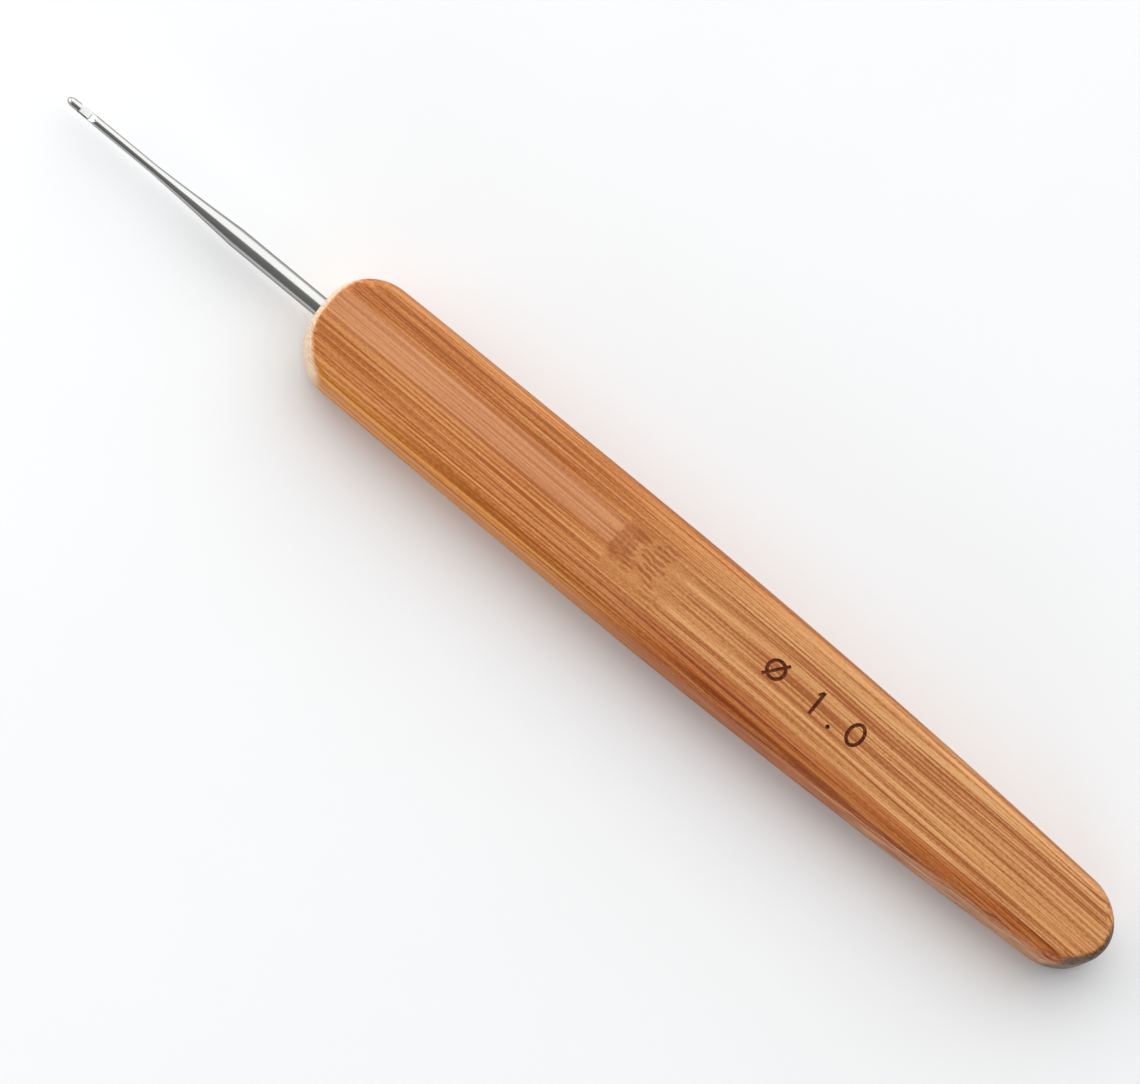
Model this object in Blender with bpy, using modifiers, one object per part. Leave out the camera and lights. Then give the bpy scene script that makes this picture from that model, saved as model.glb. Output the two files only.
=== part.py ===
"""Crochet hook: a one-piece steel hook glued into a handle of three laminated bamboo strips.

The hook lies along X with its tip at -X, the handle's flat underside lies on Z = 0, and the
mouth of the hook and the engraved size mark face +Z. Units are metres.
"""

import math

import bmesh
import bpy
from mathutils import Matrix, Vector

MM = 0.001
SHARP_DEGREES = 35.0

# Overall layout, along X
TOTAL_LENGTH = 135.0 * MM
NEEDLE_EXPOSED = 33.1 * MM
HANDLE_LENGTH = TOTAL_LENGTH - NEEDLE_EXPOSED
TIP_X = -TOTAL_LENGTH / 2
HANDLE_X = TIP_X + NEEDLE_EXPOSED

# Handle
HANDLE_THICKNESS = 7.8 * MM
AXIS_Z = HANDLE_THICKNESS / 2
WIDEST_X = 43.0 * MM            # from the handle's front
WIDEST_HALF = 6.55 * MM
FRONT_NARROWING = 0.30 * MM
BUTT_NARROWING = 1.98 * MM
BUTT_POWER = 1.87
FRONT_CORNER_RADIUS = 5.5 * MM
BUTT_CAP_LENGTH = 5.2 * MM
SIDE_ROUNDING = 1.7 * MM
END_ROUNDING = 1.0 * MM
GLUE_LINE = 0.1 * MM
GLUE_LINE_PLUS_Y = 3.65 * MM
GLUE_LINE_MINUS_Y = -3.40 * MM

# Needle: radii, and distances from the tip
HEAD_RADIUS = 0.46 * MM
HEAD_NOSE = 0.80 * MM
SHANK_RADIUS = 0.50 * MM
SHANK_END = 11.0 * MM
TAPER_END = 22.0 * MM
TAPER_POWER = 1.25
SHAFT_RADIUS = 1.05 * MM
TANG_LENGTH = 22.0 * MM
TANG_CHAMFER = 0.4 * MM

# The steel is one real piece. Its head is a node of its own, so that the throat stays open in
# collision; a plane a little behind the throat divides the two nodes.
HEAD_END = 4.5 * MM
HEAD_GAP = 0.02 * MM

# Throat, seen from the side: X from the tip and Z from the needle's axis
LIP_X = 1.65 * MM
UNDERCUT_X = 1.18 * MM
FLOOR_Z = -0.03 * MM
RAMP_START_X = 2.85 * MM
RAMP_END_X = 3.70 * MM

# Bore in the centre strip
BORE_MOUTH_RADIUS = 1.10 * MM
BORE_MOUTH_LENGTH = 1.5 * MM
BORE_RADIUS = 1.45 * MM
BORE_LENGTH = 22.6 * MM
ADHESIVE_INNER_RADIUS = 1.12 * MM
ADHESIVE_OUTER_RADIUS = 1.38 * MM

# Engraved size mark, X from the handle's front and Y from the centre line
MARK_DEPTH = 0.15 * MM
MARK_HEIGHT = 2.7 * MM
MARK_STROKE = 0.36 * MM
MARK_Y = 0.45 * MM
MARK_X = 57.2 * MM


def clear_scene():
    for obj in list(bpy.data.objects):
        bpy.data.objects.remove(obj, do_unlink=True)


def new_collection(name):
    collection = bpy.data.collections.new(name)
    bpy.context.scene.collection.children.link(collection)
    return collection


def principled(name, colour, roughness, metallic):
    material = bpy.data.materials.new(name)
    material.use_nodes = True
    shader = material.node_tree.nodes["Principled BSDF"]
    shader.inputs["Base Color"].default_value = (*colour, 1.0)
    shader.inputs["Roughness"].default_value = roughness
    shader.inputs["Metallic"].default_value = metallic
    material.diffuse_color = (*colour, 1.0)
    return material


def steel_material():
    return principled("polished_steel", (0.68, 0.68, 0.66), 0.18, 1.0)


def bamboo_material(name, shade):
    return principled(name, (0.50 * shade, 0.215 * shade, 0.085 * shade), 0.45, 0.0)


def adhesive_material():
    return principled("cured_adhesive", (0.72, 0.66, 0.48), 0.35, 0.0)


def mesh_object(name, mesh, collection, material=None):
    obj = bpy.data.objects.new(name, mesh)
    collection.objects.link(obj)
    if material is not None:
        mesh.materials.append(material)
    return obj


def make_cutter(obj):
    obj.hide_render = True
    obj.display_type = "WIRE"
    return obj


def add_boolean(target, cutter, operation):
    modifier = target.modifiers.new(cutter.name, "BOOLEAN")
    modifier.operation = operation
    modifier.solver = "EXACT"
    modifier.object = cutter


def apply_modifiers(obj):
    """Keep the modified shape, shaded smooth between its sharp edges."""
    bpy.context.view_layer.update()
    graph = bpy.context.evaluated_depsgraph_get()
    plain = obj.data
    shaped = bpy.data.meshes.new_from_object(obj.evaluated_get(graph))
    shaped.shade_smooth()
    shaped.set_sharp_from_angle(angle=math.radians(SHARP_DEGREES))
    obj.modifiers.clear()
    obj.data = shaped
    bpy.data.meshes.remove(plain)
    obj.modifiers.new("Even shading", "WEIGHTED_NORMAL").keep_sharp = True


def turned(name, profile, steps, collection, material=None, closed=False):
    """Turn (x, radius) points about the X axis; they run down the outer side from +X to -X."""
    mesh = bpy.data.meshes.new(name)
    points = [(radius, 0.0, x) for x, radius in profile]
    edges = [(i, i + 1) for i in range(len(points) - 1)]
    if closed:
        edges.append((len(points) - 1, 0))
    mesh.from_pydata(points, edges, [])
    obj = mesh_object(name, mesh, collection, material)
    screw = obj.modifiers.new("Turn", "SCREW")
    screw.axis = "Z"
    screw.steps = steps
    screw.render_steps = steps
    screw.use_merge_vertices = True
    screw.merge_threshold = 0.000001
    screw.use_smooth_shade = True
    obj.rotation_euler = (0.0, math.pi / 2, 0.0)
    return obj


def box_cutter(name, low, high, collection):
    mesh = bpy.data.meshes.new(name)
    shape = bmesh.new()
    bmesh.ops.create_cube(shape, size=1.0)
    size = [high[i] - low[i] for i in range(3)]
    bmesh.ops.scale(shape, vec=size, verts=shape.verts)
    shape.to_mesh(mesh)
    shape.free()
    obj = mesh_object(name, mesh, collection)
    obj.location = [(high[i] + low[i]) / 2 for i in range(3)]
    return make_cutter(obj)


def curve_to_mesh(curve_object, collection):
    """Turn an extruded 2D curve into a welded mesh object at the same place."""
    bpy.context.view_layer.update()
    graph = bpy.context.evaluated_depsgraph_get()
    mesh = bpy.data.meshes.new_from_object(curve_object.evaluated_get(graph))
    shape = bmesh.new()
    shape.from_mesh(mesh)
    bmesh.ops.remove_doubles(shape, verts=shape.verts, dist=0.000001)
    bmesh.ops.recalc_face_normals(shape, faces=shape.faces)
    shape.to_mesh(mesh)
    shape.free()
    name = curve_object.name
    matrix = curve_object.matrix_world.copy()
    bpy.data.objects.remove(curve_object, do_unlink=True)
    obj = mesh_object(name, mesh, collection)
    obj.matrix_world = matrix
    return obj


def flat_outline(name, outlines, thickness, matrix, collection):
    """Extrude closed outlines of (x, y) points; an outline inside another is a hole."""
    curve = bpy.data.curves.new(name, "CURVE")
    curve.dimensions = "2D"
    curve.fill_mode = "BOTH"
    curve.extrude = thickness / 2
    for points in outlines:
        spline = curve.splines.new("POLY")
        spline.points.add(len(points) - 1)
        for point, (x, y) in zip(spline.points, points):
            point.co = (x, y, 0.0, 1.0)
        spline.use_cyclic_u = True
    obj = bpy.data.objects.new(name, curve)
    collection.objects.link(obj)
    obj.matrix_world = matrix
    return make_cutter(curve_to_mesh(obj, collection))


# Handle

def side_half_width(x):
    """Half the handle's width at a distance x from its front, the rounded ends left out."""
    if x < WIDEST_X:
        return WIDEST_HALF - FRONT_NARROWING * ((WIDEST_X - x) / WIDEST_X) ** 2
    run = (x - WIDEST_X) / (HANDLE_LENGTH - WIDEST_X)
    return WIDEST_HALF - BUTT_NARROWING * run ** BUTT_POWER


def handle_half_width(x):
    width = side_half_width(x)
    if x < FRONT_CORNER_RADIUS:
        reach = FRONT_CORNER_RADIUS - x
        return width - FRONT_CORNER_RADIUS + math.sqrt(max(FRONT_CORNER_RADIUS ** 2 - reach ** 2, 0.0))
    start = HANDLE_LENGTH - BUTT_CAP_LENGTH
    if x > start:
        return width * math.sqrt(max(1.0 - ((x - start) / BUTT_CAP_LENGTH) ** 2, 0.0))
    return width


def half_outline():
    """Points (x, y) along the +Y half of the outline, from the front's middle to the butt's."""
    points = [(0.0, 0.0)]
    for i in range(10):
        angle = math.radians(90.0 * i / 10)
        x = FRONT_CORNER_RADIUS * (1.0 - math.cos(angle))
        points.append((x, handle_half_width(x)))
    start = HANDLE_LENGTH - BUTT_CAP_LENGTH
    for i in range(18):
        x = FRONT_CORNER_RADIUS + (start - FRONT_CORNER_RADIUS) * i / 18
        points.append((x, handle_half_width(x)))
    for i in range(13):
        angle = math.radians(90.0 * i / 12)
        x = start + BUTT_CAP_LENGTH * math.sin(angle)
        points.append((x, handle_half_width(x)))
    points[-1] = (HANDLE_LENGTH, 0.0)
    return points


def handle_outline():
    upper = half_outline()
    lower = [(x, -y) for x, y in reversed(upper[1:-1])]
    return [Vector((x + HANDLE_X, y)) for x, y in upper + lower]


def outline_normals(points):
    """Outward normals of an outline that runs clockwise as seen from +Z."""
    normals = []
    for i in range(len(points)):
        along = points[(i + 1) % len(points)] - points[i - 1]
        normals.append(Vector((-along.y, along.x)).normalized())
    return normals


def edge_section(steps):
    """(inset, drop) of the rounding for a radius of one, from the flat's edge to the wall."""
    section = []
    for i in range(steps + 1):
        angle = math.radians(90.0 * i / steps)
        section.append((1.0 - math.sin(angle), 1.0 - math.cos(angle)))
    return section


def handle_mesh(name):
    """A plank whose edge rounding grows from the ends to the long sides, lofted ring by ring."""
    outline = handle_outline()
    normals = outline_normals(outline)
    radii = [END_ROUNDING + (SIDE_ROUNDING - END_ROUNDING) * normal.y ** 2 for normal in normals]
    top = edge_section(5)
    levels = [(inset, drop, 1.0) for inset, drop in top]
    levels += [(inset, drop, -1.0) for inset, drop in reversed(top)]
    shape = bmesh.new()
    rings = []
    for inset, drop, side in levels:
        ring = []
        for point, normal, radius in zip(outline, normals, radii):
            place = point - normal * (inset * radius)
            height = side * (HANDLE_THICKNESS / 2 - drop * radius) + AXIS_Z
            ring.append(shape.verts.new((place.x, place.y, height)))
        rings.append(ring)
    count = len(outline)
    for upper, lower in zip(rings, rings[1:]):
        for i in range(count):
            j = (i + 1) % count
            shape.faces.new((upper[i], upper[j], lower[j], lower[i]))
    shape.faces.new(rings[0])
    shape.faces.new(list(reversed(rings[-1])))
    bmesh.ops.recalc_face_normals(shape, faces=shape.faces)
    mesh = bpy.data.meshes.new(name)
    shape.to_mesh(mesh)
    shape.free()
    return mesh


def bamboo_strip(name, y_low, y_high, shade, parts, cutters):
    mesh = handle_mesh(name)
    strip = mesh_object(name, mesh, parts, bamboo_material(name + "_material", shade))
    margin = 2.0 * MM
    low = (HANDLE_X - margin, y_low, -margin)
    high = (HANDLE_X + HANDLE_LENGTH + margin, y_high, HANDLE_THICKNESS + margin)
    add_boolean(strip, box_cutter("slab_of_" + name, low, high, cutters), "INTERSECT")
    return strip


def bore_cutter(cutters):
    mouth = BORE_MOUTH_LENGTH
    point = BORE_LENGTH + BORE_RADIUS * 0.6
    profile = [
        (point, 0.0),
        (BORE_LENGTH, BORE_RADIUS),
        (mouth, BORE_RADIUS),
        (mouth, BORE_MOUTH_RADIUS),
        (-3.0 * MM, BORE_MOUTH_RADIUS),
        (-3.0 * MM, 0.0),
    ]
    cutter = turned("bore", profile, 32, cutters)
    cutter.location = (HANDLE_X, 0.0, AXIS_Z)
    return make_cutter(cutter)


# Size mark: a diameter sign and the figures 1.0

def ellipse(width, height, count):
    points = []
    for i in range(count):
        angle = 2.0 * math.pi * i / count
        points.append((width / 2 * math.cos(angle), height / 2 * math.sin(angle)))
    return points


def bar(start, end, width):
    """A straight stroke with square ends."""
    start = Vector(start)
    end = Vector(end)
    along = (end - start).normalized()
    across = Vector((-along.y, along.x)) * (width / 2)
    return [tuple(p) for p in (start - across, end - across, end + across, start + across)]


def mark_cutter(name, outlines, x, cutters):
    place = Vector((HANDLE_X + MARK_X + x, MARK_Y, HANDLE_THICKNESS))
    return flat_outline(name, outlines, 2 * MARK_DEPTH, Matrix.Translation(place), cutters)


def mark_cutters(cutters):
    height = MARK_HEIGHT
    stroke = MARK_STROKE
    ring = 2.3 * MM
    ring_outer = ellipse(ring, ring, 28)
    ring_inner = ellipse(ring - 2 * stroke, ring - 2 * stroke, 28)
    reach = 1.55 * MM
    slash = bar((-reach * 0.62, -reach * 0.78), (reach * 0.62, reach * 0.78), stroke * 0.9)
    one = [
        (-0.50 * MM, 0.86 * MM),
        (-0.34 * MM, 0.64 * MM),
        (stroke / -2, 0.88 * MM),
        (stroke / -2, height / -2),
        (stroke / 2, height / -2),
        (stroke / 2, height / 2),
        (stroke / -2, height / 2),
    ]
    zero_width = 2.0 * MM
    zero_outer = ellipse(zero_width, height, 28)
    zero_inner = ellipse(zero_width - 2 * stroke, height - 2 * stroke, 28)
    dot = [(x, y - height / 2 + 0.2 * MM) for x, y in ellipse(0.46 * MM, 0.46 * MM, 12)]
    return [
        mark_cutter("mark_ring", [ring_outer, ring_inner], 1.3 * MM, cutters),
        mark_cutter("mark_slash", [slash], 1.3 * MM, cutters),
        mark_cutter("mark_one", [one], 6.6 * MM, cutters),
        mark_cutter("mark_point", [dot], 8.9 * MM, cutters),
        mark_cutter("mark_zero", [zero_outer, zero_inner], 11.6 * MM, cutters),
    ]


# Needle

def taper_radius(x):
    """Concave taper from the thin shank to the shaft."""
    run = max((x - SHANK_END) / (TAPER_END - SHANK_END), 0.0)
    return SHANK_RADIUS + (SHAFT_RADIUS - SHANK_RADIUS) * run ** TAPER_POWER


def shank_profile():
    """(x, radius) from the end of the tang to the plane behind the throat."""
    end = NEEDLE_EXPOSED + TANG_LENGTH
    profile = [(end, 0.0), (end, SHAFT_RADIUS - TANG_CHAMFER), (end - TANG_CHAMFER, SHAFT_RADIUS)]
    profile.append((NEEDLE_EXPOSED, SHAFT_RADIUS))
    steps = 12
    for i in range(steps + 1):
        x = TAPER_END + (SHANK_END - TAPER_END) * i / steps
        profile.append((x, taper_radius(x)))
    profile.append((HEAD_END + HEAD_GAP, SHANK_RADIUS))
    profile.append((HEAD_END + HEAD_GAP, 0.0))
    return profile


def head_profile():
    """(x, radius) from the plane behind the throat to the tip."""
    profile = [(HEAD_END, 0.0), (HEAD_END, SHANK_RADIUS)]
    steps = 9
    for i in range(steps + 1):
        angle = math.radians(90.0 * (1.0 - i / steps))
        profile.append((HEAD_NOSE * (1.0 - math.cos(angle)), HEAD_RADIUS * math.sin(angle)))
    return profile


def throat_cutter(cutters):
    """The filed throat: an undercut lip, a flat floor and a ramp, cut across the needle."""
    top = 1.2 * MM
    slope = (LIP_X - UNDERCUT_X) / (HEAD_RADIUS - FLOOR_Z)
    lip_top = LIP_X + slope * (top - HEAD_RADIUS)
    ramp_slope = (RAMP_END_X - RAMP_START_X) / (SHANK_RADIUS - FLOOR_Z)
    ramp_top = RAMP_END_X + ramp_slope * (top - SHANK_RADIUS)
    corner = 0.14 * MM
    side = [(lip_top, top), (UNDERCUT_X + corner * slope, FLOOR_Z + corner)]
    side.append((UNDERCUT_X + corner * 0.35, FLOOR_Z + corner * 0.3))
    side.append((UNDERCUT_X + corner * 1.2, FLOOR_Z))
    side.append((RAMP_START_X - corner, FLOOR_Z))
    side.append((RAMP_START_X + corner * ramp_slope, FLOOR_Z + corner))
    side.append((ramp_top, top))
    stand = Matrix.Translation((TIP_X, 0.0, AXIS_Z)) @ Matrix.Rotation(math.pi / 2, 4, "X")
    return flat_outline("throat", [side], 3.0 * MM, stand, cutters)


def build_needle(parts, cutters):
    steel = steel_material()
    head = turned("hook_head", head_profile(), 40, parts, steel)
    add_boolean(head, throat_cutter(cutters), "DIFFERENCE")
    shank = turned("needle_shank", shank_profile(), 40, parts, steel)
    for piece in (head, shank):
        piece.location = (TIP_X, 0.0, AXIS_Z)
    return [head, shank]


def build_adhesive(parts):
    front = BORE_MOUTH_LENGTH + 0.1 * MM
    back = TANG_LENGTH - 0.3 * MM
    profile = [
        (back, ADHESIVE_INNER_RADIUS),
        (back, ADHESIVE_OUTER_RADIUS),
        (front, ADHESIVE_OUTER_RADIUS),
        (front, ADHESIVE_INNER_RADIUS),
    ]
    sleeve = turned("tang_adhesive", profile, 32, parts, adhesive_material(), closed=True)
    sleeve.location = (HANDLE_X, 0.0, AXIS_Z)
    return sleeve


def build_handle(parts, cutters):
    half_gap = GLUE_LINE / 2
    outside = 10.0 * MM
    plus = GLUE_LINE_PLUS_Y
    minus = GLUE_LINE_MINUS_Y
    centre = bamboo_strip("bamboo_strip_centre", minus + half_gap, plus - half_gap, 1.0, parts, cutters)
    add_boolean(centre, bore_cutter(cutters), "DIFFERENCE")
    for cutter in mark_cutters(cutters):
        add_boolean(centre, cutter, "DIFFERENCE")
    strips = [centre]
    strips.append(bamboo_strip("bamboo_strip_plus_y", plus + half_gap, outside, 0.96, parts, cutters))
    strips.append(bamboo_strip("bamboo_strip_minus_y", -outside, minus - half_gap, 0.92, parts, cutters))
    return strips


def main():
    clear_scene()
    parts = new_collection("crochet_hook")
    cutters = new_collection("cutters")
    pieces = build_handle(parts, cutters)
    pieces += build_needle(parts, cutters)
    pieces.append(build_adhesive(parts))
    for piece in pieces:
        apply_modifiers(piece)
    frame = bpy.data.objects.new("crochet_hook_frame", None)
    parts.objects.link(frame)
    for piece in pieces:
        piece.parent = frame


main()
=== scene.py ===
"""A bamboo-handled steel crochet hook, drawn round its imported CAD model."""

import math

import bmesh
import bpy
from mathutils import Matrix, Vector, noise


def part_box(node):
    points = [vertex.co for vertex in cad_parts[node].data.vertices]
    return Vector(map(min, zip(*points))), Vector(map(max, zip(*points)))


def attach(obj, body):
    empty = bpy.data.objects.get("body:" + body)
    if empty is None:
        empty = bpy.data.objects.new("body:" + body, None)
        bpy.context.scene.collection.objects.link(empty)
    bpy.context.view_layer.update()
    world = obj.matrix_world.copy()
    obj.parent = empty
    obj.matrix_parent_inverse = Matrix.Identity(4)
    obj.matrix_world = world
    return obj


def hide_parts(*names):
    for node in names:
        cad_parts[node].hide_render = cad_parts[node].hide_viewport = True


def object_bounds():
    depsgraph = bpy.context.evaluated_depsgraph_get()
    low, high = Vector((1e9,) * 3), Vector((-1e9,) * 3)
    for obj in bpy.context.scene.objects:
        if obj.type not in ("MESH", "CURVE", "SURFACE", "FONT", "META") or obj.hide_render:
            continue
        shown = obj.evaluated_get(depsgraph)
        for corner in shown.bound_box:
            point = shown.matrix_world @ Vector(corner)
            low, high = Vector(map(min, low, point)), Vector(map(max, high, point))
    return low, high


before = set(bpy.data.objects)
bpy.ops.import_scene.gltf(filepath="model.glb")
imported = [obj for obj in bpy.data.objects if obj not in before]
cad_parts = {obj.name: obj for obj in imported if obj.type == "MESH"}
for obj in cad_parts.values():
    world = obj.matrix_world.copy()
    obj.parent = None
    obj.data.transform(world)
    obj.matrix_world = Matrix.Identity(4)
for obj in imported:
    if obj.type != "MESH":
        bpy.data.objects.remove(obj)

MM = 0.001
CAD_LOW, CAD_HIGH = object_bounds()

# Places and sizes that come from the frame
CENTRE_LOW, CENTRE_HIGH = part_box("bamboo_strip_centre")
HANDLE_X = CENTRE_LOW.x
HANDLE_LENGTH = CENTRE_HIGH.x - CENTRE_LOW.x
THICKNESS = CENTRE_HIGH.z - CENTRE_LOW.z
BASE_Z = CENTRE_LOW.z
AXIS_Z = BASE_Z + THICKNESS / 2
TIP_X = CAD_LOW.x
WIDEST_HALF = CAD_HIGH.y
TANG_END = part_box("needle_shank")[1].x - TIP_X

# Handle shape, as in the CAD
WIDEST_X = 43.0 * MM
FRONT_NARROWING = 0.30 * MM
BUTT_NARROWING = 1.98 * MM
BUTT_POWER = 1.87
FRONT_CORNER_RADIUS = 5.5 * MM
BUTT_CAP_LENGTH = 5.2 * MM
SIDE_ROUNDING = 1.7 * MM
END_ROUNDING = 1.0 * MM
GLUE_LINE = 0.02 * MM
GLUE_LINE_PLUS_Y = 3.65 * MM
GLUE_LINE_MINUS_Y = -3.40 * MM
CROWN = 0.10 * MM

# Needle shape, from the tip; as in the CAD but for the crown of the throat's floor
HEAD_RADIUS = 0.46 * MM
HEAD_NOSE = 0.80 * MM
SHANK_RADIUS = 0.50 * MM
HEAD_END = 4.6 * MM
SHANK_END = 11.0 * MM
TAPER_END = 22.0 * MM
TAPER_POWER = 1.25
SHAFT_RADIUS = 1.05 * MM
TANG_CHAMFER = 0.4 * MM
LIP_X = 1.65 * MM
UNDERCUT_X = 1.18 * MM
FLOOR_Z = -0.03 * MM
RAMP_START_X = 2.85 * MM
RAMP_END_X = 3.70 * MM
THROAT_CORNER = 0.16 * MM
THROAT_CROWN = 0.12 * MM
THROAT_CROWN_POWER = 8
THROAT_SLICE = 0.05 * MM
THROAT_HALF_WIDTH = 1.5 * MM
THROAT_FOOT_RADIUS = 1.2 * MM
THROAT_TOP = 1.2 * MM

BORE_MOUTH_RADIUS = 1.07 * MM
BORE_MOUTH_LENGTH = 1.5 * MM
BORE_RADIUS = 1.45 * MM
BORE_LENGTH = 22.6 * MM

# Engraved size mark
MARK_DEPTH = 0.12 * MM
MARK_HEIGHT = 2.7 * MM
MARK_STROKE = 0.38 * MM
MARK_Y = 0.45 * MM
MARK_X = 57.2 * MM
MARK_LENGTH = 15.5 * MM

# Culm node in the centre strip, from the handle's front
NODE_X = 39.9 * MM

# Camera
TILT = math.radians(9.0)
ROLL = math.radians(-39.57)
LENS = 250.0
SENSOR = 36.0
FIELD_WIDTH = 114.9 * MM
AIM_RIGHT = -1.45 * MM
AIM_UP = -1.73 * MM

WORLD_STRENGTH = 0.8
FLOOR_RADIUS = 3.0
FLOOR_GAP = 0.05 * MM

# Lights: name, place, target, size, watts, colour
LIGHTS = (
    ("window", (-0.10, 0.68, 0.66), (0, 0, 0), (1.7, 1.7), 14.4, (1.0, 0.998, 0.995)),
    ("left", (-0.92, 0.10, 0.38), (0, 0, 0), (0.9, 0.6), 3.2, (1.0, 1.0, 1.0)),
    ("fill", (-0.40, -0.22, 0.22), (0, 0, 0), (0.35, 0.25), 0.6, (1.0, 0.995, 0.985)),
    ("low", (0.50, -0.75, 0.16), (0.02, 0, 0), (0.8, 0.24), 3.2, (1.0, 0.995, 0.985)),
)


# ---------------------------------------------------------------- mesh helpers

def scene_object(name, data):
    obj = bpy.data.objects.new(name, data)
    bpy.context.scene.collection.objects.link(obj)
    return obj


def mesh_from(shape, name):
    mesh = bpy.data.meshes.new(name)
    bmesh.ops.recalc_face_normals(shape, faces=shape.faces)
    shape.to_mesh(mesh)
    shape.free()
    return mesh


def smooth(mesh, degrees):
    mesh.shade_smooth()
    mesh.set_sharp_from_angle(angle=math.radians(degrees))


def turned_mesh(name, profile, steps):
    """Turn (x, radius) points, given from +X to -X, about the X axis."""
    shape = bmesh.new()
    verts = [shape.verts.new((x, 0.0, radius)) for x, radius in profile]
    edges = [shape.edges.new(pair) for pair in zip(verts, verts[1:])]
    bmesh.ops.spin(shape, geom=verts + edges, cent=(0, 0, 0), axis=(1, 0, 0),
                   angle=2 * math.pi, steps=steps, use_merge=True)
    bmesh.ops.remove_doubles(shape, verts=shape.verts, dist=0.000001)
    return mesh_from(shape, name)


def prism_mesh(name, outlines, low, high):
    """Extrude closed outlines of (x, y) points from low to high; an inner one is a hole."""
    curve = bpy.data.curves.new(name, "CURVE")
    curve.dimensions = "2D"
    curve.fill_mode = "BOTH"
    curve.extrude = (high - low) / 2
    for points in outlines:
        spline = curve.splines.new("POLY")
        spline.points.add(len(points) - 1)
        for point, (x, y) in zip(spline.points, points):
            point.co = (x, y, 0.0, 1.0)
        spline.use_cyclic_u = True
    holder = scene_object(name, curve)
    bpy.context.view_layer.update()
    graph = bpy.context.evaluated_depsgraph_get()
    mesh = bpy.data.meshes.new_from_object(holder.evaluated_get(graph))
    bpy.data.objects.remove(holder, do_unlink=True)
    shape = bmesh.new()
    shape.from_mesh(mesh)
    bmesh.ops.remove_doubles(shape, verts=shape.verts, dist=0.000001)
    bmesh.ops.translate(shape, vec=(0, 0, (high + low) / 2), verts=shape.verts)
    bpy.data.meshes.remove(mesh)
    return mesh_from(shape, name)


def cut(obj, cutter_meshes):
    """Take each cutter mesh out of the object, and keep the result as its mesh."""
    cutters = []
    for mesh in cutter_meshes:
        cutter = scene_object(mesh.name, mesh)
        modifier = obj.modifiers.new(mesh.name, "BOOLEAN")
        modifier.operation = "DIFFERENCE"
        modifier.solver = "EXACT"
        modifier.object = cutter
        cutters.append(cutter)
    bpy.context.view_layer.update()
    graph = bpy.context.evaluated_depsgraph_get()
    mesh = bpy.data.meshes.new_from_object(obj.evaluated_get(graph))
    obj.modifiers.clear()
    obj.data = mesh
    for cutter in cutters:
        bpy.data.objects.remove(cutter, do_unlink=True)


# ---------------------------------------------------------------- handle

def side_half_width(x):
    if x < WIDEST_X:
        return WIDEST_HALF - FRONT_NARROWING * ((WIDEST_X - x) / WIDEST_X) ** 2
    run = (x - WIDEST_X) / (HANDLE_LENGTH - WIDEST_X)
    return WIDEST_HALF - BUTT_NARROWING * run ** BUTT_POWER


def handle_half_width(x):
    width = side_half_width(x)
    if x < FRONT_CORNER_RADIUS:
        reach = FRONT_CORNER_RADIUS - x
        bulge = math.sqrt(max(FRONT_CORNER_RADIUS ** 2 - reach ** 2, 0.0))
        return width - FRONT_CORNER_RADIUS + bulge
    start = HANDLE_LENGTH - BUTT_CAP_LENGTH
    if x > start:
        return width * math.sqrt(max(1.0 - ((x - start) / BUTT_CAP_LENGTH) ** 2, 0.0))
    return width


def handle_outline():
    points = [(0.0, 0.0)]
    corner_steps, side_steps, cap_steps = 28, 70, 32
    for i in range(corner_steps):
        x = FRONT_CORNER_RADIUS * (1.0 - math.cos(math.pi / 2 * i / corner_steps))
        points.append((x, handle_half_width(x)))
    start = HANDLE_LENGTH - BUTT_CAP_LENGTH
    for i in range(side_steps):
        x = FRONT_CORNER_RADIUS + (start - FRONT_CORNER_RADIUS) * i / side_steps
        points.append((x, handle_half_width(x)))
    for i in range(cap_steps + 1):
        x = start + BUTT_CAP_LENGTH * math.sin(math.pi / 2 * i / cap_steps)
        points.append((x, handle_half_width(x)))
    points[-1] = (HANDLE_LENGTH, 0.0)
    lower = [(x, -y) for x, y in reversed(points[1:-1])]
    return [Vector((x + HANDLE_X, y)) for x, y in points + lower]


def handle_shell():
    """The whole handle as one closed shell: rounded edges, flat faces still undivided."""
    outline = handle_outline()
    count = len(outline)
    normals = []
    for i in range(count):
        along = outline[(i + 1) % count] - outline[i - 1]
        normals.append(Vector((-along.y, along.x)).normalized())
    radii = [END_ROUNDING + (SIDE_ROUNDING - END_ROUNDING) * n.y ** 2 for n in normals]
    steps = 10
    section = []
    for i in range(steps + 1):
        angle = math.pi / 2 * i / steps
        section.append((1.0 - math.sin(angle), 1.0 - math.cos(angle)))
    levels = [(inset, drop, 1.0) for inset, drop in section]
    levels += [(inset, drop, -1.0) for inset, drop in reversed(section)]
    shape = bmesh.new()
    rings = []
    for inset, drop, side in levels:
        ring = []
        for point, normal, radius in zip(outline, normals, radii):
            place = point - normal * (inset * radius)
            height = side * (THICKNESS / 2 - drop * radius) + AXIS_Z
            ring.append(shape.verts.new((place.x, place.y, height)))
        rings.append(ring)
    for upper, lower in zip(rings, rings[1:]):
        for i in range(count):
            j = (i + 1) % count
            shape.faces.new((upper[i], upper[j], lower[j], lower[i]))
    shape.faces.new(rings[0])
    shape.faces.new(list(reversed(rings[-1])))
    bmesh.ops.recalc_face_normals(shape, faces=shape.faces)
    return shape


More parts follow.
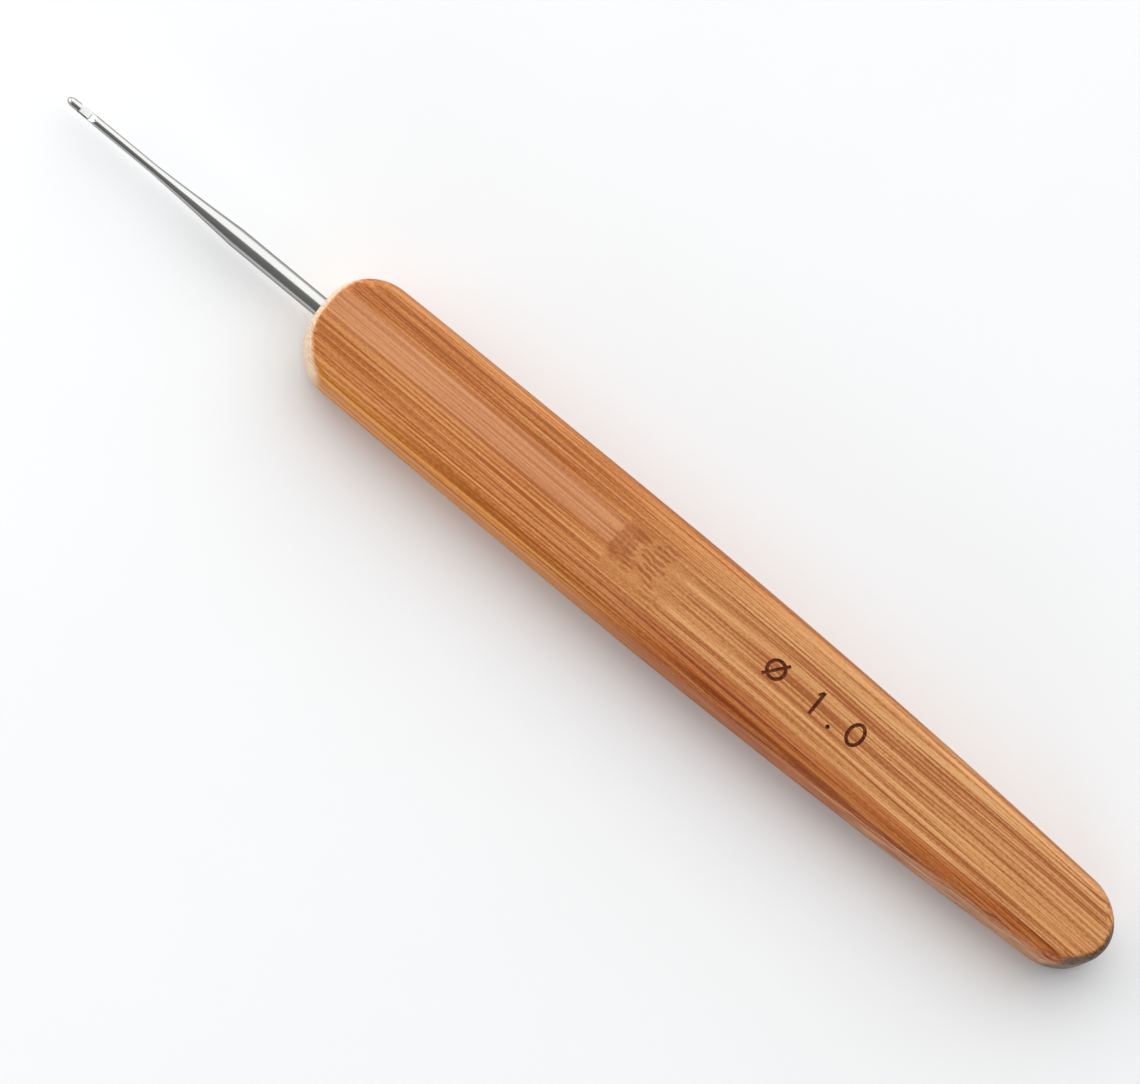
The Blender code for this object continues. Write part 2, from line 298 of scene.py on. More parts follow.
def slice_shell(shape, place, normal, clear=False):
    geometry = shape.verts[:] + shape.edges[:] + shape.faces[:]
    result = bmesh.ops.bisect_plane(shape, geom=geometry, dist=0.0000005, plane_co=place,
                                    plane_no=normal, clear_outer=clear)
    if clear:
        edges = [e for e in result["geom_cut"] if isinstance(e, bmesh.types.BMEdge)]
        bmesh.ops.holes_fill(shape, edges=edges, sides=0)


def relieve(shape):
    """Hand-finished surface: crowned flats, slow waves along the sides, a swelling at the node."""
    for vert in shape.verts:
        x = vert.co.x - HANDLE_X
        half = max(side_half_width(min(max(x, 0.0), HANDLE_LENGTH)), 0.001)
        across = vert.co.y / half
        level = (vert.co.z - AXIS_Z) / (THICKNESS / 2)
        place = Vector((x / (14.0 * MM), vert.co.y / (6.0 * MM), level))
        wave = noise.noise(place) * 0.5 + 0.5
        reach = abs(level) ** 3
        near = math.exp(-((x - NODE_X) / (3.0 * MM)) ** 2)
        drop = CROWN * across ** 2 + 0.035 * MM * wave * (1.0 - 0.7 * near)
        vert.co.z -= math.copysign(min(drop, 0.2 * MM), level) * reach
        sway = noise.noise(Vector((x / (22.0 * MM), 3.0, 7.0))) * 0.5 + 0.5
        vert.co.y *= 1.0 - 0.006 * sway


def strip_mesh(name, y_low, y_high):
    shape = handle_shell()
    if y_high is not None:
        slice_shell(shape, (0, y_high, 0), (0, 1, 0), clear=True)
    if y_low is not None:
        slice_shell(shape, (0, y_low, 0), (0, -1, 0), clear=True)
    step_x, step_y = 1.0 * MM, 0.25 * MM
    for i in range(1, int(HANDLE_LENGTH / step_x) + 1):
        slice_shell(shape, (HANDLE_X + i * step_x, 0, 0), (1, 0, 0))
    low = min(v.co.y for v in shape.verts)
    high = max(v.co.y for v in shape.verts)
    for i in range(1, int((high - low) / step_y) + 1):
        slice_shell(shape, (0, low + i * step_y, 0), (0, 1, 0))
    relieve(shape)
    return mesh_from(shape, name)


def bore_mesh():
    profile = [
        (BORE_LENGTH + BORE_RADIUS * 0.6, 0.0),
        (BORE_LENGTH, BORE_RADIUS),
        (BORE_MOUTH_LENGTH, BORE_RADIUS),
        (BORE_MOUTH_LENGTH, BORE_MOUTH_RADIUS),
        (-3.0 * MM, BORE_MOUTH_RADIUS),
        (-3.0 * MM, 0.0),
    ]
    mesh = turned_mesh("bore", profile, 64)
    mesh.transform(Matrix.Translation((HANDLE_X, 0, AXIS_Z)))
    return mesh


# ---------------------------------------------------------------- size mark

def ellipse(width, height, count):
    turn = 2.0 * math.pi / count
    return [(width / 2 * math.cos(turn * i), height / 2 * math.sin(turn * i)) for i in range(count)]


def bar(start, end, width):
    start, end = Vector(start), Vector(end)
    along = (end - start).normalized()
    across = Vector((-along.y, along.x)) * (width / 2)
    return [tuple(p) for p in (start - across, end - across, end + across, start + across)]


def glyph(name, outlines, x):
    shift = (HANDLE_X + MARK_X + x, MARK_Y)
    moved = [[(px + shift[0], py + shift[1]) for px, py in points] for points in outlines]
    top = BASE_Z + THICKNESS
    return prism_mesh(name, moved, top - MARK_DEPTH - 0.03 * MM, top + 0.2 * MM)


def mark_meshes():
    """A diameter sign and the figures 1.0, in plain strokes."""
    height, stroke = MARK_HEIGHT, MARK_STROKE
    ring = 2.3 * MM
    reach = 1.55 * MM
    slash = bar((-reach * 0.62, -reach * 0.78), (reach * 0.62, reach * 0.78), stroke * 0.9)
    one = [
        (-0.50 * MM, 0.86 * MM),
        (-0.34 * MM, 0.64 * MM),
        (stroke / -2, 0.88 * MM),
        (stroke / -2, height / -2),
        (stroke / 2, height / -2),
        (stroke / 2, height / 2),
        (stroke / -2, height / 2),
    ]
    zero = 2.0 * MM
    dot = [(x, y - height / 2 + 0.2 * MM) for x, y in ellipse(0.46 * MM, 0.46 * MM, 20)]
    ring_lines = [ellipse(ring, ring, 56), ellipse(ring - 2 * stroke, ring - 2 * stroke, 56)]
    zero_lines = [ellipse(zero, height, 56), ellipse(zero - 2 * stroke, height - 2 * stroke, 56)]
    return [
        glyph("mark_ring", ring_lines, 1.3 * MM),
        glyph("mark_slash", [slash], 1.3 * MM),
        glyph("mark_one", [one], 6.6 * MM),
        glyph("mark_point", [dot], 8.9 * MM),
        glyph("mark_zero", zero_lines, 11.6 * MM),
    ]


def paint_mark(mesh, slot):
    """Give the engraved recess the laser-darkened material."""
    top = BASE_Z + THICKNESS
    left = HANDLE_X + MARK_X - 1.0 * MM
    right = left + MARK_LENGTH
    for face in mesh.polygons:
        x, y, z = face.center
        inside = left < x < right and abs(y - MARK_Y) < 2.0 * MM
        sunk = top - 0.3 * MM < z < top - MARK_DEPTH + 0.02 * MM
        wall = top - 0.3 * MM < z < top - 0.02 * MM and abs(face.normal.z) < 0.5
        if inside and (sunk or wall):
            face.material_index = slot


# ---------------------------------------------------------------- needle

def taper_radius(x):
    run = max((x - SHANK_END) / (TAPER_END - SHANK_END), 0.0)
    return SHANK_RADIUS + (SHAFT_RADIUS - SHANK_RADIUS) * run ** TAPER_POWER


def needle_profile():
    profile = [(TANG_END, 0.0), (TANG_END, SHAFT_RADIUS - TANG_CHAMFER)]
    profile.append((TANG_END - TANG_CHAMFER, SHAFT_RADIUS))
    steps = 24
    start = TANG_END - TANG_CHAMFER
    for i in range(1, steps + 1):
        profile.append((start + (TAPER_END - start) * i / steps, SHAFT_RADIUS))
    steps = 44
    for i in range(1, steps + 1):
        x = TAPER_END + (SHANK_END - TAPER_END) * i / steps
        profile.append((x, taper_radius(x)))
    for x in (9.0, 7.0, 5.5):
        profile.append((x * MM, SHANK_RADIUS))
    profile.append((HEAD_END, SHANK_RADIUS))
    steps = 16
    for i in range(1, steps):
        x = HEAD_END + (HEAD_NOSE - HEAD_END) * i / steps
        run = (x - HEAD_NOSE) / (HEAD_END - HEAD_NOSE)
        profile.append((x, HEAD_RADIUS + (SHANK_RADIUS - HEAD_RADIUS) * run))
    steps = 20
    for i in range(steps + 1):
        angle = math.pi / 2 * (1.0 - i / steps)
        profile.append((HEAD_NOSE * (1.0 - math.cos(angle)), HEAD_RADIUS * math.sin(angle)))
    return profile


def rounded(corner, before, after, radius, steps):
    """Points of a fillet at a corner between the lines to before and after."""
    corner, before, after = Vector(corner), Vector(before), Vector(after)
    to_before = (before - corner).normalized()
    to_after = (after - corner).normalized()
    half = to_before.angle(to_after) / 2
    reach = radius / math.tan(half)
    start, end = corner + to_before * reach, corner + to_after * reach
    points = []
    for i in range(steps + 1):
        t = i / steps
        points.append(tuple(start * (1 - t) ** 2 + corner * 2 * t * (1 - t) + end * t ** 2))
    return points


def throat_mesh():
    """The filed throat: an undercut lip, a floor rounded off at its long edges, and a ramp."""
    top = THROAT_TOP
    slope = (LIP_X - UNDERCUT_X) / (HEAD_RADIUS - FLOOR_Z)
    ramp = (RAMP_END_X - RAMP_START_X) / (SHANK_RADIUS - FLOOR_Z)
    lip = (LIP_X + slope * (top - HEAD_RADIUS), top)
    inner = (UNDERCUT_X, FLOOR_Z)
    foot = (RAMP_START_X, FLOOR_Z)
    head = (RAMP_END_X + ramp * (top - SHANK_RADIUS), top)
    side = [lip]
    side += rounded(inner, lip, foot, THROAT_CORNER, 6)
    side += rounded(foot, inner, head, THROAT_FOOT_RADIUS, 8)
    side.append(head)
    mesh = prism_mesh("throat", [side], -THROAT_HALF_WIDTH, THROAT_HALF_WIDTH)
    shape = bmesh.new()
    shape.from_mesh(mesh)
    bpy.data.meshes.remove(mesh)
    for i in range(-12, 13):
        slice_shell(shape, (0, 0, i * THROAT_SLICE), (0, 0, 1))
    for vert in shape.verts:
        across = min(abs(vert.co.z) / SHANK_RADIUS, 1.1)
        vert.co.y -= THROAT_CROWN * across ** THROAT_CROWN_POWER
    mesh = mesh_from(shape, "throat")
    mesh.transform(Matrix.Translation((TIP_X, 0, AXIS_Z)) @ Matrix.Rotation(math.pi / 2, 4, "X"))
    return mesh


# ---------------------------------------------------------------- node helpers

class Tree:
    """Short calls for the maths and mixes of a shader tree."""

    def __init__(self, owner):
        owner.use_nodes = True
        self.tree = owner.node_tree
        self.tree.nodes.clear()

    def node(self, kind, **settings):
        made = self.tree.nodes.new(kind)
        for key, value in settings.items():
            setattr(made, key, value)
        return made

    def feed(self, socket, value):
        if isinstance(value, bpy.types.NodeSocket):
            self.tree.links.new(value, socket)
        elif isinstance(value, tuple) and len(value) == 3 and socket.type == "RGBA":
            socket.default_value = (*value, 1.0)
        else:
            socket.default_value = value

    def math(self, operation, *values):
        made = self.node("ShaderNodeMath", operation=operation)
        for socket, value in zip(made.inputs, values):
            self.feed(socket, value)
        return made.outputs[0]

    def add(self, a, b):
        return self.math("ADD", a, b)

    def sub(self, a, b):
        return self.math("SUBTRACT", a, b)

    def mul(self, a, b):
        return self.math("MULTIPLY", a, b)

    def vary(self, base, field, gain):
        """The base, moved by a field's swing about its middle."""
        return self.math("MULTIPLY_ADD", self.sub(field, 0.5), gain, base)

    def step(self, value, low, high):
        """Smooth step from 0 at low to 1 at high; low may be above high."""
        made = self.node("ShaderNodeMapRange", interpolation_type="SMOOTHSTEP", clamp=True)
        flip = low > high
        self.feed(made.inputs["Value"], value)
        self.feed(made.inputs["From Min"], high if flip else low)
        self.feed(made.inputs["From Max"], low if flip else high)
        self.feed(made.inputs["To Min"], 1.0 if flip else 0.0)
        self.feed(made.inputs["To Max"], 0.0 if flip else 1.0)
        return made.outputs["Result"]

    def window(self, value, centre, half, soft):
        """1 within half of the centre, falling to 0 over the soft distance."""
        away = self.math("ABSOLUTE", self.sub(value, centre))
        return self.step(away, half + soft, half)

    def vector(self, x, y, z):
        made = self.node("ShaderNodeCombineXYZ")
        for socket, value in zip(made.inputs, (x, y, z)):
            self.feed(socket, value)
        return made.outputs[0]

    def stretch(self, x, y, z, scales, seed=0.0):
        return self.vector(
            self.math("MULTIPLY_ADD", x, scales[0], seed),
            self.math("MULTIPLY_ADD", y, scales[1], seed * 0.37),
            self.math("MULTIPLY_ADD", z, scales[2], seed * 0.71),
        )

    def noise(self, vector, detail=2.0, rough=0.5):
        made = self.node("ShaderNodeTexNoise", noise_dimensions="3D")
        self.feed(made.inputs["Vector"], vector)
        made.inputs["Scale"].default_value = 1.0
        made.inputs["Detail"].default_value = detail
        made.inputs["Roughness"].default_value = rough
        return made.outputs["Fac"]

    def lines(self, field, width):
        """Thin lines where a noise field crosses its middle."""
        away = self.math("ABSOLUTE", self.sub(field, 0.5))
        return self.step(away, width, width * 0.15)

    def mix(self, factor, a, b):
        """Blend two colours."""
        made = self.node("ShaderNodeMix", data_type="RGBA")
        self.feed(made.inputs["Factor"], factor)
        self.feed(made.inputs[6], a)
        self.feed(made.inputs[7], b)
        return made.outputs[2]

    def mixed(self, factor, a, b):
        """Blend two values."""
        made = self.node("ShaderNodeMix", data_type="FLOAT")
        self.feed(made.inputs["Factor"], factor)
        self.feed(made.inputs[2], a)
        self.feed(made.inputs[3], b)
        return made.outputs[0]

    def position_mm(self):
        """Object coordinates in millimetres, as three sockets."""
        place = self.node("ShaderNodeTexCoord").outputs["Object"]
        scale = self.node("ShaderNodeVectorMath", operation="SCALE")
        self.feed(scale.inputs[0], place)
        scale.inputs["Scale"].default_value = 1000.0
        split = self.node("ShaderNodeSeparateXYZ")
        self.feed(split.inputs[0], scale.outputs[0])
        return split.outputs

    def bump(self, height, distance, strength=1.0):
        made = self.node("ShaderNodeBump")
        self.feed(made.inputs["Height"], height)
        made.inputs["Distance"].default_value = distance
        made.inputs["Strength"].default_value = strength
        return made.outputs[0]

    def principled(self, **values):
        shader = self.node("ShaderNodeBsdfPrincipled")
        for key, value in values.items():
            self.feed(shader.inputs[key.replace("_", " ")], value)
        output = self.node("ShaderNodeOutputMaterial")
        self.tree.links.new(shader.outputs[0], output.inputs["Surface"])


# ---------------------------------------------------------------- materials

# Linear colours of the carbonised bamboo: a dark line, the wood between, and the palest fibre,
# for the front half, the butt half, the -Y flank in front with painted light, the -Y flank at the
# butt with a pale painted reflection, and the -Y strip at the butt with painted shade
FRONT_TONES = ((0.310, 0.076, 0.009), (0.480, 0.172, 0.043), (0.610, 0.272, 0.096))
BUTT_TONES = ((0.310, 0.084, 0.015), (0.505, 0.213, 0.068), (0.640, 0.330, 0.130))
PAINTED_LIGHT_FLANK_TONES = ((0.390, 0.112, 0.013), (0.600, 0.222, 0.038), (0.710, 0.310, 0.076))
PAINTED_REFLECTION_TONES = ((0.260, 0.096, 0.034), (0.430, 0.207, 0.097), (0.570, 0.325, 0.178))
PAINTED_SHADE_SIDE_TONES = ((0.210, 0.040, 0.005), (0.360, 0.095, 0.016), (0.460, 0.165, 0.046))

# Its other colours: painted shade on the butt's end grain and a painted highlight on the front's
# end grain, each from pore to fibre; a painted sheen band; painted shade on the +Y flank
PAINTED_END_SHADE = ((0.060, 0.036, 0.027), (0.150, 0.100, 0.072))
PAINTED_END_HIGHLIGHT = ((0.680, 0.490, 0.320), (0.860, 0.700, 0.540))
PAINTED_SHEEN = (0.600, 0.285, 0.155)
SHADED_FLANK = (0.240, 0.085, 0.024)


def dash_rows(t, place, y, pitch, centre, half, seed):
    """A column of short dashes across the handle, each with its own length, place and strength."""
    row = t.math("MULTIPLY_ADD", y, 1.0 / pitch, seed)
    index = t.math("FLOOR", row)
    across = t.math("ABSOLUTE", t.sub(t.sub(row, index), 0.5))
    draw = t.node("ShaderNodeTexWhiteNoise", noise_dimensions="1D")
    t.feed(draw.inputs["W"], t.add(index, seed * 3.0))
    split = t.node("ShaderNodeSeparateColor")
    t.feed(split.inputs[0], draw.outputs["Color"])
    length_draw, place_draw, power_draw = split.outputs
    middle = t.vary(centre, place_draw, half * 1.1)
    reach = t.math("MULTIPLY_ADD", length_draw, half * 0.9, half * 0.55)
    away = t.sub(t.math("ABSOLUTE", t.sub(place, middle)), reach)
    body = t.mul(t.step(away, 0.30, -0.10), t.step(across, 0.42, 0.18))
    return t.mul(body, t.math("MULTIPLY_ADD", power_draw, 0.6, 0.4))


def culm_node(t, x, y):
    """The culm node: three bowed columns of short dashes. Returns (calm, dark, pale, band)."""
    along = t.sub(x, (NODE_X + HANDLE_X) / MM)
    wobble = t.sub(t.noise(t.stretch(x, y, 0.0, (0.5, 0.7, 1.0), 11.0), 1.0), 0.5)
    shift = t.sub(t.noise(t.stretch(x, y, 0.0, (0.7, 1.1, 1.0), 17.0), 1.0), 0.5)
    from_middle = t.sub(y, 0.5)
    place = t.sub(along, t.mul(t.mul(from_middle, from_middle), 0.16))
    place = t.add(place, t.mul(shift, 1.0))
    row = t.math("MULTIPLY_ADD", wobble, 0.6, y)
    narrow = t.window(y, 0.75, 1.60, 0.25)
    middle = t.window(y, 0.70, 2.15, 0.30)
    whole = t.window(y, 0.10, 2.85, 0.40)
    low = t.step(y, 0.4, -1.2)
    third_place = t.sub(place, t.mul(low, 0.6))
    dark = t.mul(dash_rows(t, place, row, 0.54, -1.85, 0.35, 2.0), narrow)
    dark = t.math("MAXIMUM", dark, t.mul(dash_rows(t, place, row, 0.57, -0.25, 0.65, 9.3), middle))
    third = t.mul(dash_rows(t, third_place, row, 0.61, 2.1, 1.0, 21.4), whole)
    dark = t.math("MAXIMUM", dark, third)
    pale = t.mul(dash_rows(t, place, row, 0.57, -0.20, 0.60, 9.8), middle)
    third = t.mul(dash_rows(t, third_place, row, 0.61, 2.2, 0.9, 21.9), whole)
    pale = t.math("MAXIMUM", pale, third)
    calm = t.mul(t.step(along, -2.7, -1.9), t.step(t.add(along, t.mul(shift, 6.0)), 8.5, 3.6))
    band = t.mul(t.window(place, -1.3, 0.95, 0.55), t.window(y, 0.60, 1.9, 0.6))
    return t.mul(calm, whole), dark, pale, band


def tone(t, level, tones):
    ramp = t.node("ShaderNodeValToRGB")
    ramp.color_ramp.interpolation = "LINEAR"
    stops = ramp.color_ramp.elements
    stops[0].position, stops[1].position = 0.0, 1.0
    middle = stops.new(0.5)
    for stop, colour in zip((stops[0], middle, stops[-1]), tones):
        stop.color = (*colour, 1.0)
    t.feed(ramp.inputs[0], level)
    return ramp.outputs[0]


def bamboo(name, seed, with_node=False, side=False, change=(-6.0, 12.0)):
    """Carbonised bamboo: long fibres in darker and paler lines, drifting across the handle."""
    material = bpy.data.materials.new(name)
    t = Tree(material)
    x, y, z = t.position_mm()
    past = t.math("MAXIMUM", x, 0.0)
    drift = t.add(t.mul(x, 0.0035), t.mul(t.mul(past, past), 0.00022))
    sway = t.sub(t.noise(t.stretch(x, 0.0, 0.0, (0.03, 1.0, 1.0), seed), 1.0), 0.5)
    q = t.add(t.add(y, drift), t.mul(sway, 0.5))

    def layer(scales, offset, detail=1.0, rough=0.5):
        return t.noise(t.stretch(x, q, z, scales, seed + offset), detail, rough)

    broad = layer((0.010, 0.45, 0.45), 1.0)
    streaks = layer((0.016, 2.0, 2.0), 2.0, 2.0, 0.60)
    fine = layer((0.050, 4.6, 4.6), 3.0, 2.0, 0.60)
    speck = layer((2.40, 7.0, 7.0), 12.0)
    wide_lines = t.lines(layer((0.007, 0.95, 0.95), 4.0), 0.026)
    wide_power = t.step(layer((0.020, 0.9, 0.9), 6.0), 0.38, 0.60)
    close_lines = t.lines(layer((0.014, 1.7, 1.7), 5.0), 0.036)
    close_power = t.step(layer((0.035, 1.3, 1.3), 7.0), 0.40, 0.62)
    flecks = t.step(layer((0.45, 4.2, 4.2), 9.0, 2.0), 0.66, 0.74)
    flecks = t.mul(flecks, t.step(x, 15.0, 50.0))

    level = t.vary(0.51, streaks, 2.5)
    level = t.vary(level, broad, 0.45)
    level = t.vary(level, fine, 2.2)
    wide = t.mul(t.mul(wide_lines, wide_power), 0.42)
    grooves = t.add(wide, t.mul(t.mul(close_lines, close_power), 0.26))
    level = t.sub(level, t.add(grooves, t.mul(flecks, 0.35)))
    height = t.sub(t.add(t.mul(streaks, 0.8), t.mul(fine, 0.4)), t.mul(grooves, 0.8))
    if with_node:
        calm, dark, pale, band = culm_node(t, x, y)
        settled = t.vary(0.46, broad, 0.8)
        level = t.mixed(t.mul(calm, 0.85), level, settled)
        level = t.sub(level, t.add(t.mul(dark, 0.40), t.mul(band, 0.20)))
        level = t.add(level, t.mul(pale, 0.20))
        height = t.add(t.sub(height, t.mul(dark, 0.35)), t.mul(pale, 0.2))
    level = t.vary(level, speck, 0.9)

    butt = t.step(t.add(x, t.mul(t.sub(broad, 0.5), 30.0)), *change)
    colour = t.mix(butt, tone(t, level, FRONT_TONES), tone(t, level, BUTT_TONES))
    if with_node:
        # A painted sheen: a pale band along the centre strip's front half, where a soft reflection
        # lies
        painted_sheen_mask = t.mul(t.window(y, 0.95, 1.0, 0.9), t.window(x, -16.0, 15.0, 8.0))
        colour = t.mix(t.mul(painted_sheen_mask, 0.35), colour, PAINTED_SHEEN)
    facing = t.node("ShaderNodeSeparateXYZ")
    t.feed(facing.inputs[0], t.node("ShaderNodeTexCoord").outputs["Normal"])
    end, flank, _ = facing.outputs
    if side:
        painted_shade_reach = t.step(x, -8.0, 18.0)
        # Painted light: the -Y flank in front is painted brighter and more orange than the top
        colour = t.mix(t.mul(t.step(flank, -0.2, -0.8), 0.8), colour, tone(t, level, PAINTED_LIGHT_FLANK_TONES))
        # Painted shade: the whole -Y strip is painted darker towards the butt
        colour = t.mix(painted_shade_reach, colour, tone(t, level, PAINTED_SHADE_SIDE_TONES))
        # A pale painted reflection on the -Y flank at the butt, with a ragged front edge
        painted_reflection_mask = t.add(t.math("MULTIPLY_ADD", streaks, 40.0, x), t.mul(fine, 24.0))
        painted_reflection_mask = t.mul(t.step(flank, -0.76, -0.96), t.step(painted_reflection_mask, 69.0, 82.0))
        colour = t.mix(t.mul(painted_reflection_mask, 0.85), colour, tone(t, level, PAINTED_REFLECTION_TONES))
    else:
        colour = t.mix(t.mul(t.step(flank, 0.5, 0.9), 0.45), colour, SHADED_FLANK)
    pores = t.noise(t.stretch(x, y, z, (0.4, 3.4, 3.4), seed + 15.0), 2.0, 0.6)
    # Painted shade on the butt's end grain, textured by its pores, up to a ragged border near the
    # butt
    painted_end_shade_mask = t.step(t.sub(end, t.mul(flank, 0.45)), 0.20, 0.56)
    ragged = t.vary(x, fine, 2.4)
    painted_shade_border = t.step(t.math("MULTIPLY_ADD", z, -0.25, ragged), 62.80, 63.50)
    painted_end_shade_mask = t.mul(t.mul(painted_end_shade_mask, painted_shade_border), 0.94)
    end_shade_colour = t.mix(t.step(pores, 0.35, 0.65), *PAINTED_END_SHADE)
    colour = t.mix(painted_end_shade_mask, colour, end_shade_colour)
    # A painted highlight on the front's end grain, textured by its pores
    painted_front_highlight_mask = t.mul(t.step(t.add(end, t.mul(flank, 0.30)), -0.36, -0.66), 0.85)
    end_highlight_colour = t.mix(t.step(pores, 0.35, 0.65), *PAINTED_END_HIGHLIGHT)
    colour = t.mix(painted_front_highlight_mask, colour, end_highlight_colour)
    rough = t.math("MULTIPLY_ADD", streaks, 0.20, 0.40)
    t.principled(
        Base_Color=colour,
        Roughness=rough,
        Specular_IOR_Level=0.22,
        Coat_Weight=0.06,
        Coat_Roughness=0.20,
        Normal=t.bump(height, 0.02 * MM, 0.5),
    )
    return material


def burnt_bamboo():
    """The laser-cut floor of the size mark: dark brown, blotchy and dull."""
    material = bpy.data.materials.new("burnt_bamboo")
    t = Tree(material)
    x, y, z = t.position_mm()
    blot = t.noise(t.stretch(x, y, z, (1.8, 3.0, 3.0), 5.0), 3.0, 0.6)
    fibre = t.noise(t.stretch(x, y, z, (0.3, 6.0, 6.0), 8.0), 2.0, 0.6)
    colour = t.mix(t.step(blot, 0.35, 0.68), (0.070, 0.013, 0.007), (0.190, 0.047, 0.020))
    colour = t.mix(t.mul(t.step(fibre, 0.5, 0.7), 0.35), colour, (0.26, 0.08, 0.03))
    t.principled(
        Base_Color=colour,
        Roughness=0.85,
        Specular_IOR_Level=0.08,
        Normal=t.bump(blot, 0.03 * MM, 0.7),
    )
    return material


def steel():
    """Nickel-bright steel, drawn and polished along its length."""
    material = bpy.data.materials.new("polished_steel")
    t = Tree(material)
    x, y, z = t.position_mm()
    drawn = t.noise(t.stretch(x, y, z, (0.25, 14.0, 14.0), 3.0), 3.0, 0.6)
    rings = t.noise(t.stretch(x, y, z, (9.0, 0.7, 0.7), 6.0), 2.0, 0.5)
    cloud = t.noise(t.stretch(x, y, z, (0.20, 0.8, 0.8), 9.0), 2.0, 0.5)
    colour = t.mix(cloud, (0.42, 0.42, 0.41), (0.50, 0.50, 0.485))
    rough = t.math("MULTIPLY_ADD", drawn, 0.12, t.math("MULTIPLY_ADD", cloud, 0.06, 0.08))
    height = t.add(t.mul(drawn, 0.7), t.mul(rings, 0.3))
    t.principled(
        Base_Color=colour,
        Metallic=1.0,
        Specular_Tint=(0.15, 0.15, 0.15),
        Roughness=rough,
        Normal=t.bump(height, 0.002 * MM, 0.5),
    )
    return material


def epoxy():
    """Cured amber adhesive, faintly clouded."""
    material = bpy.data.materials.new("cured_adhesive")
    t = Tree(material)
    x, y, z = t.position_mm()
    cloud = t.noise(t.stretch(x, y, z, (0.6, 0.9, 0.9), 2.0), 3.0, 0.5)
    colour = t.mix(cloud, (0.55, 0.45, 0.26), (0.74, 0.68, 0.50))
    t.principled(Base_Color=colour, Roughness=0.3, Coat_Weight=0.3, Normal=t.bump(cloud, 0.02 * MM))
    return material


def paper():
    """Plain pale floor."""
    material = bpy.data.materials.new("pale_floor")
    t = Tree(material)
    x, y, z = t.position_mm()
    grain = t.noise(t.stretch(x, y, z, (0.05, 0.05, 0.05), 1.0), 4.0, 0.6)
    colour = t.mix(grain, (0.825, 0.835, 0.845), (0.845, 0.855, 0.865))
    t.principled(Base_Color=colour, Roughness=0.8)
    return material


# ---------------------------------------------------------------- pieces

def finish_piece(obj, materials, slot, *nodes):
    obj.data.materials.clear()
    for material in materials:
        obj.data.materials.append(material)
    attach(obj, "root")
    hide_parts(*nodes)


def strip(name, y_low, y_high):
    return scene_object(name, strip_mesh(name, y_low, y_high))


def make_handle():
    """Three strips side by side, parted by two fine glue lines."""
    half = GLUE_LINE / 2
    plus, minus = GLUE_LINE_PLUS_Y, GLUE_LINE_MINUS_Y
    centre = strip("handle_centre_strip", minus + half, plus - half)
    cut(centre, [bore_mesh()] + mark_meshes())
    upper = strip("handle_plus_y_strip", plus + half, None)
    lower = strip("handle_minus_y_strip", None, minus - half)
    middle_wood = bamboo("bamboo_centre", 3.0, with_node=True)
    upper_wood = bamboo("bamboo_plus_y", 41.0, change=(2.0, 34.0))
    lower_wood = bamboo("bamboo_minus_y", 87.0, side=True)
    finish_piece(centre, [middle_wood, burnt_bamboo()], "bamboo", "bamboo_strip_centre")
    paint_mark(centre.data, 1)
    finish_piece(upper, [upper_wood], "bamboo", "bamboo_strip_plus_y")
    finish_piece(lower, [lower_wood], "bamboo", "bamboo_strip_minus_y")
    for piece in (centre, upper, lower):
        smooth(piece.data, 35.0)


def make_needle():
    mesh = turned_mesh("hook_needle", needle_profile(), 96)
    mesh.transform(Matrix.Translation((TIP_X, 0, AXIS_Z)))
    needle = scene_object("hook_needle", mesh)
    cut(needle, [throat_mesh()])
    finish_piece(needle, [steel()], "steel", "hook_head", "needle_shank")
    smooth(needle.data, 35.0)


def dress_adhesive():
    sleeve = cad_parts["tang_adhesive"]
    material = epoxy()
    if not sleeve.data.materials:
        sleeve.data.materials.append(material)
    for place in sleeve.material_slots:
        place.material = material


# ---------------------------------------------------------------- studio

def area_light(name, place, target, size, power, colour):
    data = bpy.data.lights.new(name, "AREA")
    data.shape = "RECTANGLE"
    data.size, data.size_y = size
    data.energy = power
    data.color = colour
    lamp = scene_object(name, data)
    lamp.location = place
    lamp.rotation_euler = (Vector(place) - Vector(target)).to_track_quat("Z", "Y").to_euler()
    lamp.visible_camera = False


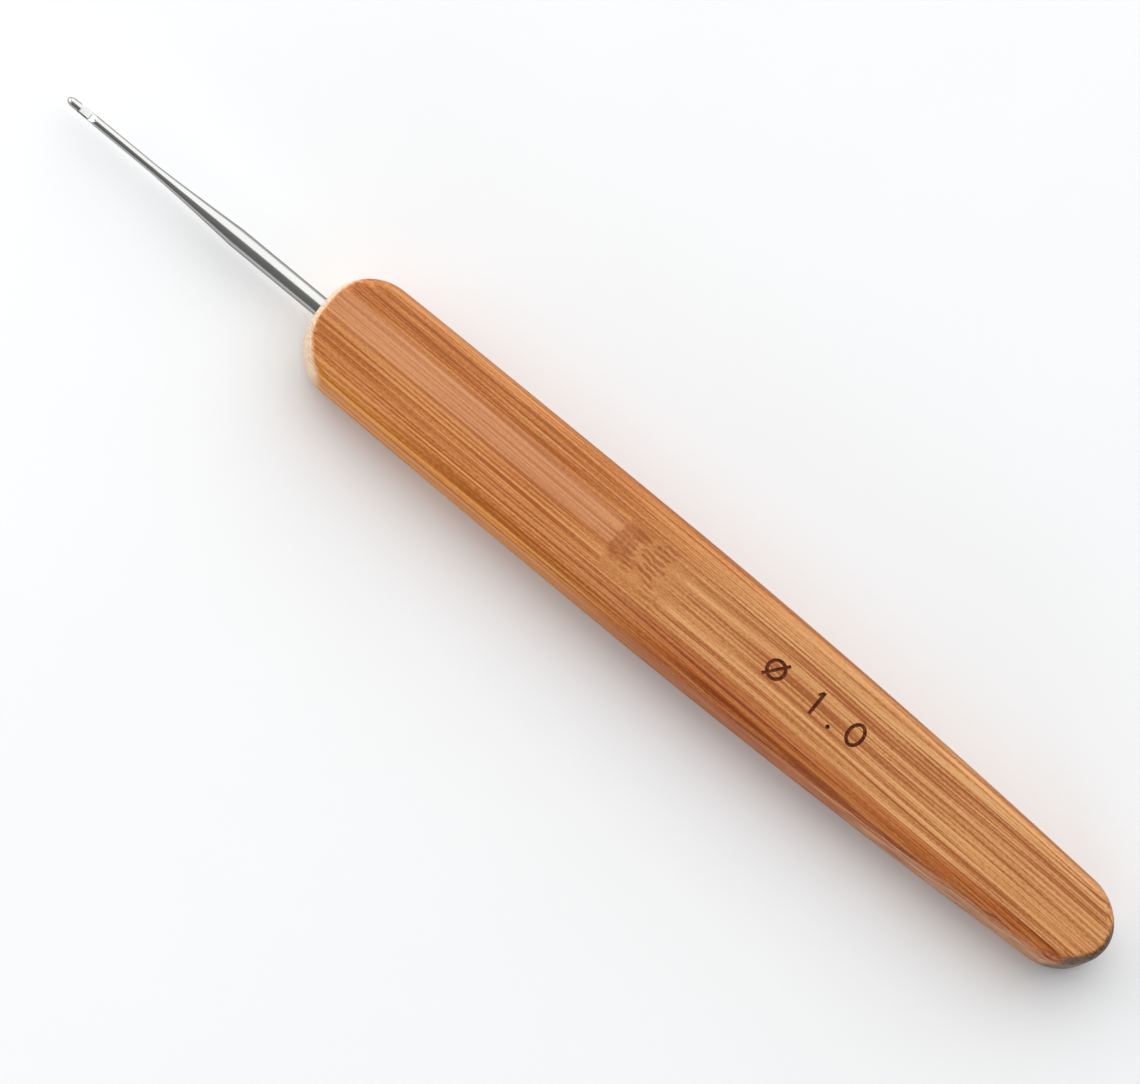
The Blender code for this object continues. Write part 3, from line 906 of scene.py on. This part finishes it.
def make_world():
    """Soft room light, dimmer on the side the camera leans to; it shows as plain pale grey."""
    world = bpy.data.worlds.new("studio")
    bpy.context.scene.world = world
    t = Tree(world)
    way = t.node("ShaderNodeTexCoord").outputs["Generated"]
    split = t.node("ShaderNodeSeparateXYZ")
    t.feed(split.inputs[0], way)
    x, y, z = split.outputs
    side = t.step(t.add(t.mul(y, 0.8), t.mul(x, -0.4)), -0.9, 0.9)
    bright = t.math("MULTIPLY_ADD", side, 0.30, 0.28)
    room = t.node("ShaderNodeBackground")
    t.feed(room.inputs["Color"], t.vector(bright, bright, bright))
    room.inputs["Strength"].default_value = WORLD_STRENGTH
    plain = t.node("ShaderNodeBackground")
    plain.inputs["Color"].default_value = (0.94, 0.94, 0.945, 1.0)
    seen = t.node("ShaderNodeLightPath").outputs["Is Camera Ray"]
    join = t.node("ShaderNodeMixShader")
    t.feed(join.inputs[0], seen)
    t.tree.links.new(room.outputs[0], join.inputs[1])
    t.tree.links.new(plain.outputs[0], join.inputs[2])
    out = t.node("ShaderNodeOutputWorld")
    t.tree.links.new(join.outputs[0], out.inputs["Surface"])


def make_studio():
    shape = bmesh.new()
    bmesh.ops.create_circle(shape, cap_ends=True, radius=FLOOR_RADIUS, segments=96)
    floor_mesh = bpy.data.meshes.new("floor")
    shape.to_mesh(floor_mesh)
    shape.free()
    floor = scene_object("floor", floor_mesh)
    floor.location.z = CAD_LOW.z - FLOOR_GAP
    floor_mesh.materials.append(paper())
    make_world()
    for light in LIGHTS:
        area_light(*light)


def make_camera():
    along = Vector((1, 0, 0))
    back = Vector((0, -math.sin(TILT), math.cos(TILT)))
    across = back.cross(along)
    right = along * math.cos(ROLL) - across * math.sin(ROLL)
    up = along * math.sin(ROLL) + across * math.cos(ROLL)
    data = bpy.data.cameras.new("camera")
    data.lens = LENS
    data.sensor_width = SENSOR
    data.clip_start, data.clip_end = 0.01, 20.0
    camera = scene_object("camera", data)
    centre = Vector(((CAD_LOW.x + CAD_HIGH.x) / 2, 0.0, AXIS_Z))
    aim = centre + right * AIM_RIGHT + up * AIM_UP
    distance = LENS * FIELD_WIDTH / SENSOR
    turn = Matrix((right, up, back)).transposed().to_4x4()
    camera.matrix_world = Matrix.Translation(aim + back * distance) @ turn
    bpy.context.scene.camera = camera


make_handle()
make_needle()
dress_adhesive()
make_studio()
make_camera()
bpy.context.scene.view_settings.view_transform = "Standard"
